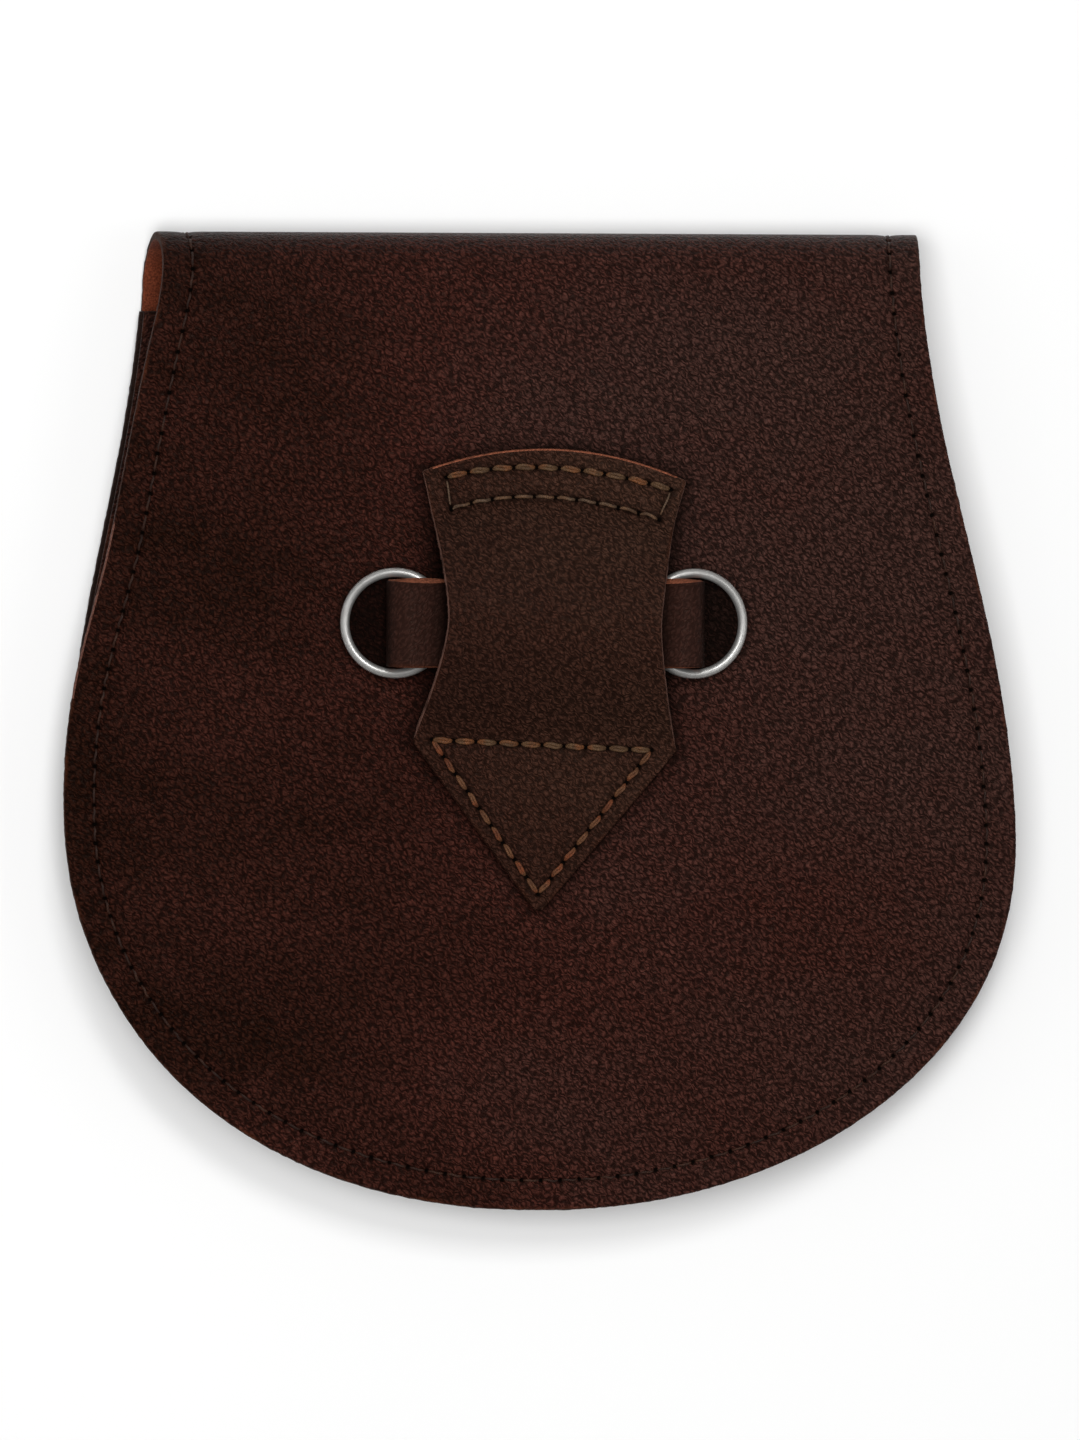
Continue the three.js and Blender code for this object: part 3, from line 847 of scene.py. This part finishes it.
def painted_shade_on_back(points):
    """Painted shade on the back: round the belt loop, deepest and widest where the arch stands off, and along
    and inside the rings.
    """
    x, y, z = points.T
    on_back = ((z > FOLD_Z - 1) & (np.abs(x) < BACK_SHADE_AREA.half)
               & (y > BACK_SHADE_AREA.low) & (y < BACK_SHADE_AREA.high))
    dark = np.zeros(len(points))
    chosen = np.where(on_back)[0]
    local = loop_frame(x[chosen], y[chosen])
    away = nearest(LOOP_TREE, local)
    away = np.where(inside(local, LOOP_OUTLINE), 0, away)
    free = bell(local[:, 1], BACK_SHADE_AREA.under_arch, BACK_SHADE_AREA.arch_half)
    reach = lerp(SHADE_ROUND_LOOP.reach, SHADE_UNDER_ARCH.reach, free)
    dark[chosen] = lerp(SHADE_ROUND_LOOP.shade, SHADE_UNDER_ARCH.shade, free) * bell(away, 0, reach)
    for cx, cy in ring_points():
        distance = np.hypot(x - cx, y - cy)
        wire = SHADE_BY_WIRE.shade * bell(distance, RING.radius, SHADE_BY_WIRE.reach)
        within = smooth((RING.radius + RING.wire - distance) / SHADE_IN_RING.fade)
        mark = np.maximum(wire, SHADE_IN_RING.shade * within)
        dark = np.maximum(dark, np.where(on_back, mark, 0))
    return np.clip(dark, 0, 1)


# Depth and width of a seam's fine groove and of the shallow dip round it
RIM_GROOVES = [(0.26, 0.5), (0.22, 1.9)]
LOOP_GROOVES = [(0.2, 0.7), (0.12, 2.0)]
SNAP_V = FLAP_V + FLAP.top - SNAP.y
RECESS_EDGE = 0.1
BARE_SIDE = (5.0, 42.0)
BARE_LINE = 0.4


def grooves(away, sizes):
    """How far a seam pulls the leather in."""
    return sum(depth * bell(away, 0, width) for depth, width in sizes)


def rim_relief(uv, inset):
    return grooves(inset - SEAM_INSET, RIM_GROOVES)


def snap_recess(uv, inset):
    """The rim's seam, and the place that the stud's cap is sunk in."""
    distance = np.hypot(uv[:, 0], uv[:, 1] - SNAP_V)
    within = smooth((SNAP.cap + GAP + RECESS_EDGE / 2 - distance) / RECESS_EDGE)
    return rim_relief(uv, inset) + within * (SNAP.back + GAP)


def bare_side(uv):
    """Where the back's left edge has lost its dye."""
    low, high = BARE_SIDE
    return ((uv[:, 0] < 0) & (uv[:, 1] > low) & (uv[:, 1] < high)).astype(int)


def bare_line(uv):
    """How far the back's cut shows on its grain face, more where it is bare."""
    return np.where(bare_side(uv), BARE_LINE, EDGE_LINE)


RIM_RINGS = [0.12, 0.38, 0.9, 1.8, 3.0, 4.1, 5.0, 5.6, 5.95, 6.3, 6.65, 7.0, 7.6, 8.6, 10.2]
SNAP_RINGS = [5.6, 6.42, 6.56, 7.4]
RIM_THREAD_RADIUS = 0.27
BACK_THREAD_RISE = -0.22
FRONT_THREAD_RISE = -0.24
DARK_MARGIN = 9.0

line = body_outline()
stitches = round(length_of(line, True) / RIM_PITCH)
line = resample(line, stitches * STATIONS_PER_STITCH, True)
body_holes = (line + inward(line) * SEAM_INSET)[::STATIONS_PER_STITCH]
snap_rings = np.vstack([circle(64) * r + (0, SNAP_V) for r in SNAP_RINGS])
back_and_flap = leather_sheet(
    "back_and_flap_leather", line, place_body, PANEL_LEATHER, [PANEL_GRAIN, FLESH, DARK_CUT, WORN_CUT],
    rings=RIM_RINGS, spacing=2.2, holes=body_holes, lines=snap_rings, relief=snap_recess, painted_shade=painted_shade_on_back,
    kind=bare_side, edge_line=bare_line)
keep(back_and_flap, "pouch", "panel_leather", "back_and_flap")

thread = Thread()
thread.sew(place_body, body_holes, RIM_THREAD_RADIUS, BACK_THREAD_RISE, closed=True)
keep(thread.mesh("rim_stitches", [RIM_THREAD]), "pouch")


# Front panel

def dark_margin(inset):
    """The margin outside the gusset is dark on its flesh side too."""
    return np.where(inset < DARK_MARGIN, 3, 1)


# The front's flat pattern is turned over: across, and down from the top
front_rim = rim_line(FRONT) * (1, -1)
mouth = np.linspace(front_rim[-1], front_rim[0], 160)[1:-1]
count = round(length_of(front_rim) / RIM_PITCH)
front_seam = resample(front_rim, count * STATIONS_PER_STITCH, False)
front_holes = (front_seam + inward(front_seam, False) * SEAM_INSET)[2::STATIONS_PER_STITCH]
line = resample(np.vstack([front_rim, mouth]), 700, True)
front_panel = leather_sheet(
    "front_leather", line, place_front, PANEL_LEATHER, [PANEL_GRAIN, FLESH, DARK_CUT, DARK_FLESH],
    rings=RIM_RINGS, spacing=2.6, holes=front_holes, relief=rim_relief, inner=dark_margin)
keep(front_panel, "pouch", "panel_leather", "front_panel")

thread = Thread()
thread.sew(place_front, front_holes, RIM_THREAD_RADIUS, FRONT_THREAD_RISE)
keep(thread.mesh("front_stitches", [RIM_THREAD]), "pouch")


# Gusset

def spline(points, count):
    """Smooth line through points, with steps that are closer at both ends."""
    points = np.asarray(points, float)
    padded = np.vstack([2 * points[0] - points[1], points, 2 * points[-1] - points[-2]])
    at = (1 - np.cos(np.pi * np.linspace(0, 1, count))) / 2 * (len(points) - 1)
    i = np.minimum(at.astype(int), len(points) - 2)
    t = (at - i)[:, None]
    p0, p1, p2, p3 = (padded[i + k] for k in range(4))
    return 0.5 * (2 * p1 + (p2 - p0) * t + (2 * p0 - 5 * p1 + 4 * p2 - p3) * t ** 2
                  + (3 * p1 - p0 - 3 * p2 + p3) * t ** 3)


PUCKERS = Group(ripple=Ripple(5, 9, 22), across=14.0, amount=0.32, straight=0.25, power=0.7,
                start=-10.0, run=60.0)
POCKET_DEPTH = 15.0


def gusset_grid(stations=420, columns=41):
    """Outer face of the gusset, from the back's rim to the front's, and the distances from its edges."""
    back_rim, front_rim = (resample(rim_line(shape), stations, False) for shape in (BACK, FRONT))
    section = spline(GUSSET_SECTION, columns)
    inset, depth = section[:, 0], section[:, 1].clip(0, 1)

    def inner(rim, height):
        normal = -inward(rim, False)
        flat = rim[:, None] + normal[:, None] * inset[None, :, None]
        return np.concatenate([flat, height(flat[..., 0], flat[..., 1])[..., None]], axis=2)

    under = inner(back_rim, lambda x, y: back_z(x, y) - PANEL_LEATHER - GAP)
    over = inner(front_rim, lambda x, y: front_z(y) + PANEL_LEATHER + GAP)
    grid = lerp(under, over, depth[None, :, None])
    # Puckers where the band goes round the bottom
    run = distance_along(back_rim)
    pucker = PUCKERS.ripple(run[:, None], PUCKERS.across * depth[None])
    bend = eased(-back_rim[:, 1], PUCKERS)[:, None]
    amount = PUCKERS.amount * pucker * lerp(PUCKERS.straight, 1, bend)
    amount = amount * np.sin(np.pi * depth)[None] ** PUCKERS.power
    normal = -inward(back_rim, False)
    grid[..., :2] += normal[:, None] * amount[..., None]
    grid[..., 0] += lean(grid[..., 1]) + (1 - depth) * nip(grid[..., 0], grid[..., 1])
    along = distance_along(section * (1, POCKET_DEPTH))
    edge = np.minimum(along, along[-1] - along)[None] * np.ones((stations, 1))
    ends = np.minimum(run, run[-1] - run)[:, None]
    return grid, np.minimum(edge, ends)


grid, inset = gusset_grid()
gusset = leather_band("gusset_leather", grid, inset, GUSSET_LEATHER, [GUSSET_GRAIN, FLESH, DARK_CUT],
                      flip=True)
keep(gusset, "pouch", "gusset_leather", "gusset")


# Belt loop

SETTLING_ROUNDS = 8
PAST_EDGE = 1.05


def place_loop(pq):
    """Outer face of the belt loop from its flat pattern. The free part stands off the back as an arch."""
    p, q = pq[:, 0], pq[:, 1]
    along = q
    for _ in range(SETTLING_ROUNDS):
        across = np.clip(p / loop_half(np.clip(along, LOOP.tip, LOOP.top)), -PAST_EDGE, PAST_EDGE)
        rise = LOOP.rise * np.clip(1 - (LOOP.top - along) / LOOP.fade, 0, PAST_EDGE)
        along = q - rise * (1 - across ** 2)
    x, y = np.add(rotated(p, q, LOOP.turn), np.reshape(LOOP.centre, (2, 1)))
    share = np.clip((along - ARCH.start) / (ARCH.to - ARCH.start), 0, 1)
    bulge = np.sin(np.pi * share) ** ARCH.power
    seat = lerp(back_z(x, y), CROWN_Z, bulge)
    return np.column_stack([x, y, seat + GAP + PANEL_LEATHER + ARCH.height * bulge])


def bent_line(points, count):
    """Evenly spaced holes along a line through three or more points seen from above."""
    points = np.asarray(points, float)
    if len(points) == 3:
        t = np.linspace(0, 1, 60)[:, None]
        middle = 2 * points[1] - (points[0] + points[2]) / 2
        points = (1 - t) ** 2 * points[0] + 2 * t * (1 - t) * middle + t ** 2 * points[2]
    return resample(loop_frame(points[:, 0], points[:, 1]), count + 1, False)


# Holes, radius of the thread, strands, and material
LOOP_SEAMS = [
    (bent_line([(-20.1, 51.9), (1.8, 54.0), (27.8, 49.5)], 10), 0.36, 2, 0),
    (bent_line([(-19.1, 45.3), (1.2, 47.8), (25.2, 43.3)], 10), 0.37, 1, 2),
    (bent_line([(-23.1, -3.7), (23.7, -5.9)], 10), 0.36, 2, 0),
    (bent_line([(-23.1, -3.7), (-0.3, -36.5)], 9), 0.3, 2, 1),
    (bent_line([(23.7, -5.9), (-0.3, -36.5)], 9), 0.3, 2, 1),
    (bent_line([(-20.1, 51.9), (-19.1, 45.3)], 1), 0.22, 1, 2),
    (bent_line([(27.8, 49.5), (25.2, 43.3)], 1), 0.22, 1, 2),
]
SAME_HOLE = 1.6
SEAM_OFFSETS = [-1.1, -0.6, 0, 0.6, 1.1]
loop_holes = np.vstack([seam[0] for seam in LOOP_SEAMS])
loop_holes = loop_holes[[i for i, h in enumerate(loop_holes)
                         if not np.any(np.linalg.norm(loop_holes[:i] - h, axis=1) < SAME_HOLE)]]
seam_lines = []
for holes, *_ in LOOP_SEAMS:
    fine = resample(holes, len(holes) * 5, False)
    side = inward(fine, False)
    seam_lines += [fine + side * offset for offset in SEAM_OFFSETS]
SEAM_TREE = tree_of(np.vstack([resample(seam[0], 200, False) for seam in LOOP_SEAMS]))
LOOP_EDGE_FROM = Group(top=LOOP.top + 0.6, sides=LOOP.corner + 1)
# How far the cut shows on the grain face at the tip, the top arc and the sides; on the sides the pale line is
# a painted highlight
LOOP_EDGE_LINES = np.array([0.0, 0.42, 0.2])
# Painted shade in the loop's seam grooves
SEAM_SHADE = Group(amount=0.75, reach=0.85)
THREAD_RISE = 0.55


def loop_relief(pq, inset):
    return grooves(nearest(SEAM_TREE, pq), LOOP_GROOVES)


def loop_edge(pq):
    """The loop's edge is dark at its pointed end, raw along the top arc, and paler down the sides as a
    painted highlight on the raw cut.
    """
    top, sides = pq[:, 1] > LOOP_EDGE_FROM.top, pq[:, 1] > LOOP_EDGE_FROM.sides
    return np.where(top, 1, np.where(sides, 2, 0))


def loop_line(pq):
    return LOOP_EDGE_LINES[loop_edge(pq)]


def shade_in_seam_grooves(points):
    """Painted shade: the leather is darkened in the seams' grooves."""
    away = nearest(SEAM_TREE, loop_frame(points[:, 0], points[:, 1]))
    return SEAM_SHADE.amount * bell(away, 0, SEAM_SHADE.reach)


belt_loop = leather_sheet(
    "belt_loop_leather", LOOP_OUTLINE, place_loop, PANEL_LEATHER,
    [LOOP_GRAIN, FLESH, DARK_CUT, CUT, HIGHLIT_SIDE_CUT],
    rings=[0.12, 0.4, 0.9, 1.7, 2.6], spacing=1.25, holes=loop_holes, lines=np.vstack(seam_lines),
    relief=loop_relief, bevel=0.4, edge_line=loop_line, kind=loop_edge, painted_shade=shade_in_seam_grooves)
keep(belt_loop, "pouch", "loop_leather", "belt_loop")

thread = Thread()
for holes, radius, strands, index in LOOP_SEAMS:
    thread.sew(place_loop, holes, radius, radius * THREAD_RISE, strands=strands, index=index)
keep(thread.mesh("loop_stitches", [OCHRE_THREAD, RUST_THREAD, BROWN_THREAD]), "pouch")


# Ring strap and rings

def strap_line(steps=26, bend_steps=30):
    """Outer line of the strap, from the middle of its upper layer round both ends and back."""
    layers = 2 * (STRAP_LEATHER + GAP)
    bend = np.array([STRAP.half - STRAP.radius, GAP + STRAP.radius])
    opening = np.array([STRAP.opens, layers])
    reach = bend - opening
    slope = math.atan2(reach[1], reach[0]) + math.asin(STRAP.radius / np.linalg.norm(reach))
    angle = np.linspace(math.pi / 2 + slope, -math.pi / 2, bend_steps)
    around = bend + STRAP.radius * np.column_stack([np.cos(angle), np.sin(angle)])
    upper = lerp(opening, around[0], np.linspace(0, 1, steps)[:, None])
    lower = np.column_stack([np.linspace(bend[0], 0, steps), np.full(steps, GAP)])
    right = np.vstack([[GAP / 2, layers], upper, around[1:], lower[1:]])
    left = (right[:-1] * (-1, 1))[::-1]
    return np.vstack([right, left])


STRAP_MARGIN = np.array([0, 0.1, 0.3, 0.7, 1.3])
STRAP_MIDDLE = Group(start=2.2, lines=13)
STRAP_SPREAD = Group(x=27.0, width=6.0, above=4.0, lift=0.45, reach=1.2, lower=0.5)
STRAP_SLANT = Group(x=25.5, width=8.0, amount=0.85, reach=0.8, lower=0.25)
# Painted shadow of the belt loop on the strap, and painted shade at the strap's bends
STRAP_SHADE = Group(past_loop=4.5, fade=5.0, under_loop=0.9, bend=1.6, at_bend=0.6)


def strap_grid():
    """The strap's outer face, each point's distance from an edge, its slanted cut, and how much painted shade
    it gets: the belt loop's painted shadow and painted shade where it bends round.
    """
    line = strap_line()
    across, width = np.abs(line[:, 0]), STRAP.width
    inner = np.linspace(STRAP_MIDDLE.start, width - STRAP_MIDDLE.start, STRAP_MIDDLE.lines)
    inner = np.concatenate([STRAP_MARGIN, inner, width - STRAP_MARGIN[::-1]])
    x = STRAP.x + line[:, :1] + 0 * inner[None]
    y = STRAP.y + width / 2 - inner[None] + 0 * line[:, :1]

    def near_edges(reach, upper, lower):
        return upper * np.exp(-inner / reach) + lower * np.exp(-(width - inner) / reach)

    # The wire spreads the fold's edges a little
    spread = STRAP_SPREAD
    lift = spread.lift * bell(across, spread.x, spread.width) * (line[:, 1] > spread.above)
    z = back_z(x, y) + line[:, 1:] + lift[:, None] * near_edges(spread.reach, 1, spread.lower)
    inset = np.minimum(inner, width - inner)[None] * np.ones((len(line), 1))
    # The edges of the upper layer are cut at a slant, the upper edge more
    cut = STRAP_SLANT
    upper_layer = line[:, 1] > 2 * (STRAP_LEATHER + GAP) - GAP / 3
    slant = cut.amount * bell(across, cut.x, cut.width) * upper_layer
    cut_back = np.zeros((*inset.shape, 3))
    cut_back[..., 1] = slant[:, None] * near_edges(cut.reach, -1, cut.lower)
    # Painted shadow beside the belt loop, and painted shade where the strap bends round the rings
    past_loop = np.abs(x - LOOP.centre[0]) - LOOP.waist_half - STRAP_SHADE.past_loop
    under_loop = STRAP_SHADE.under_loop * smooth(-past_loop / STRAP_SHADE.fade)
    at_bend = STRAP_SHADE.at_bend * smooth((across - STRAP.half) / STRAP_SHADE.bend + 1)[:, None]
    return np.stack([x, y, z], axis=2), inset, cut_back, np.maximum(under_loop, at_bend)


grid, inset, cut_back, painted_dark = strap_grid()
ring_strap = leather_band("ring_strap_leather", grid, inset, STRAP_LEATHER, [STRAP_GRAIN, FLESH, CUT],
                          cut_back=cut_back, painted_dark=painted_dark)
keep(ring_strap, "pouch", "loop_leather", "ring_strap")


BUTT_JOINT = Group(depth=0.22, half_angle=0.018)


def ring_mesh(name, side, steps=144, sides=24):
    """A wire ring in its fold of the strap, leaning down to the back, with a butt joint in the fold."""
    edge = math.sqrt(RING.radius ** 2 - (STRAP.width / 2 + RING.wire) ** 2)
    near, far = RING.offset - edge, RING.offset + RING.radius
    pivot_x = RING.offset - RING.radius + RING.pivot

    def wire_z(x, seat):
        return float(back_z(STRAP.x + side * x, STRAP.y)) + seat + GAP + RING.wire

    near_z = wire_z(near, GAP + STRAP_LEATHER)
    lean = math.atan2(near_z - wire_z(far, 0), far - near)
    pivot = np.array([STRAP.x + side * pivot_x, STRAP.y, near_z + (near - pivot_x) * math.tan(lean)])
    centre = side * (RING.offset - pivot_x) / math.cos(lean)
    around, about = turns(steps), turns(sides)
    away = np.abs(around - (math.pi if side > 0 else 0))
    away = np.minimum(away, 2 * np.pi - away)
    wire = RING.wire * (1 - BUTT_JOINT.depth * bell(away, 0, BUTT_JOINT.half_angle))
    radius = RING.radius + wire[:, None] * np.cos(about)[None]
    flat = np.stack([centre + radius * np.cos(around)[:, None], radius * np.sin(around)[:, None],
                     wire[:, None] * np.sin(about)[None] + 0 * radius], axis=2).reshape(-1, 3)
    x, z = rotated(flat[:, 0], flat[:, 2], -side * lean)
    points = np.column_stack([x, flat[:, 1], z])
    faces = grid_faces(steps, sides, rows_close=True)[:, TURNED_OVER].tolist()
    return new_object(name, points + pivot, faces, [NICKEL], [0] * len(faces), {})


for node, body, side in (("ring_left", "left_ring", -1), ("ring_right", "right_ring", 1)):
    keep(ring_mesh(node + "_wire", side), body, "ring_steel", node)


# Press stud

def turned(name, profile, material, steps=72):
    """A piece turned about the stud's upright axis, from radii and heights."""
    points = np.array([(r * x, SNAP.y + r * y, z) for r, z in profile for x, y in circle(steps)])
    faces = tube_faces(len(profile), steps)
    return new_object(name, points, faces, [material], [0] * len(faces), {})


inner_z = float(front_z(SNAP.y)) + PANEL_LEATHER + GAP
CAP_EDGE = (1.1, 0.55)
# Radii and heights: the cap's dimpled face, and the washer inside the pocket
CAP_FACE = [(0.6, 0.02), (2.6, 0.02), (2.9, 0.12), (3.2, 0.0)]
WASHER = [(SNAP.washer - 0.2, 0.0), (SNAP.washer, 0.25), (SNAP.washer - 0.15, 0.75),
          (SNAP.washer - 0.6, SNAP.thick), (2.2, SNAP.thick), (1.9, 0.6), (0.4, 0.6)]
width, height = CAP_EDGE
cap_edge = [(SNAP.cap - width + width * math.sin(a), height * (1 - math.cos(a)))
            for a in np.linspace(0, math.pi / 2, 10)]
stud = [*((r, SNAP.face + z) for r, z in CAP_FACE + cap_edge), (SNAP.cap, SNAP.back),
        (SNAP.shank, SNAP.back), (SNAP.shank, inner_z), *((r, inner_z + z) for r, z in WASHER)]
keep(turned("press_stud", stud, NICKEL), "pouch", "ring_steel", "flap_snap")


# Floor, light and camera

def floor():
    s = Shader("pale_floor")
    color = s.mix(s.ramp(s.noise(0.004, 2.0), 0.3, 0.7), (0.79, 0.79, 0.79), (0.80, 0.80, 0.80))
    material = s.finish(Base_Color=color, Roughness=0.85, Specular_IOR_Level=0.1)
    mesh = bpy.data.meshes.new("floor")
    reach, low = 6.0, -0.0004
    mesh.from_pydata([(-reach, -reach, low), (reach, -reach, low), (reach, reach, low), (-reach, reach, low)],
                     [], [(0, 1, 2, 3)])
    mesh.materials.append(material)
    linked("floor", mesh)


def softbox(name, place, size, power, reflected=True):
    """A soft light that points at the object. One that isn't reflected only fills."""
    light = bpy.data.lights.new(name, "AREA")
    light.shape = "RECTANGLE"
    light.size, light.size_y = size
    light.energy = power
    lamp = linked(name, light)
    lamp.location = place
    lamp.rotation_euler = (-Vector(place)).to_track_quat("-Z", "Y").to_euler()
    lamp.visible_camera = False
    lamp.visible_glossy = reflected


floor()
softbox("overhead_box", (-0.33, -0.05, 2.2), (1.1, 1.1), 40, reflected=False)
softbox("glow_box", (0.0, 0.2, 2.2), (1.4, 1.4), 1.0)
softbox("key_box", (0.1, 0.85, 2.05), (0.5, 0.5), 15)
softbox("left_box", (-1.5, 0.2, 1.7), (0.8, 1.4), 3)
softbox("right_box", (1.5, -0.2, 1.7), (0.8, 1.4), 4)

world = bpy.data.worlds.new("studio")
bpy.context.scene.world = world
world.use_nodes = True
background = world.node_tree.nodes["Background"]
background.inputs["Color"].default_value = (1.0, 0.995, 0.985, 1)
background.inputs["Strength"].default_value = 0.14
bpy.context.scene.view_settings.view_transform = "Standard"

SCALE_MM_PER_PIXEL = 0.2127
FRAME_HEIGHT = 1440
SENSOR = 36
DISTANCE = 2.5
TILT_LEFT = math.radians(4.8)
TILT_UP = math.radians(1.2)
ROLL = math.radians(-0.18)
AIM = Vector((0.0007, 0.0003, 0.020))
camera = linked("camera", bpy.data.cameras.new("camera"))
away = Vector((-math.tan(TILT_LEFT), math.tan(TILT_UP), 1)).normalized()
camera.location = AIM + away * DISTANCE
right = Matrix.Rotation(-ROLL, 3, away) @ Vector((0, 1, 0)).cross(away).normalized()
camera.rotation_mode = "QUATERNION"
camera.rotation_quaternion = Matrix((right, away.cross(right), away)).transposed().to_quaternion()
camera.data.sensor_width = SENSOR
camera.data.lens = SENSOR * DISTANCE / (FRAME_HEIGHT * SCALE_MM_PER_PIXEL * MM)
camera.data.clip_end = 50
bpy.context.scene.camera = camera
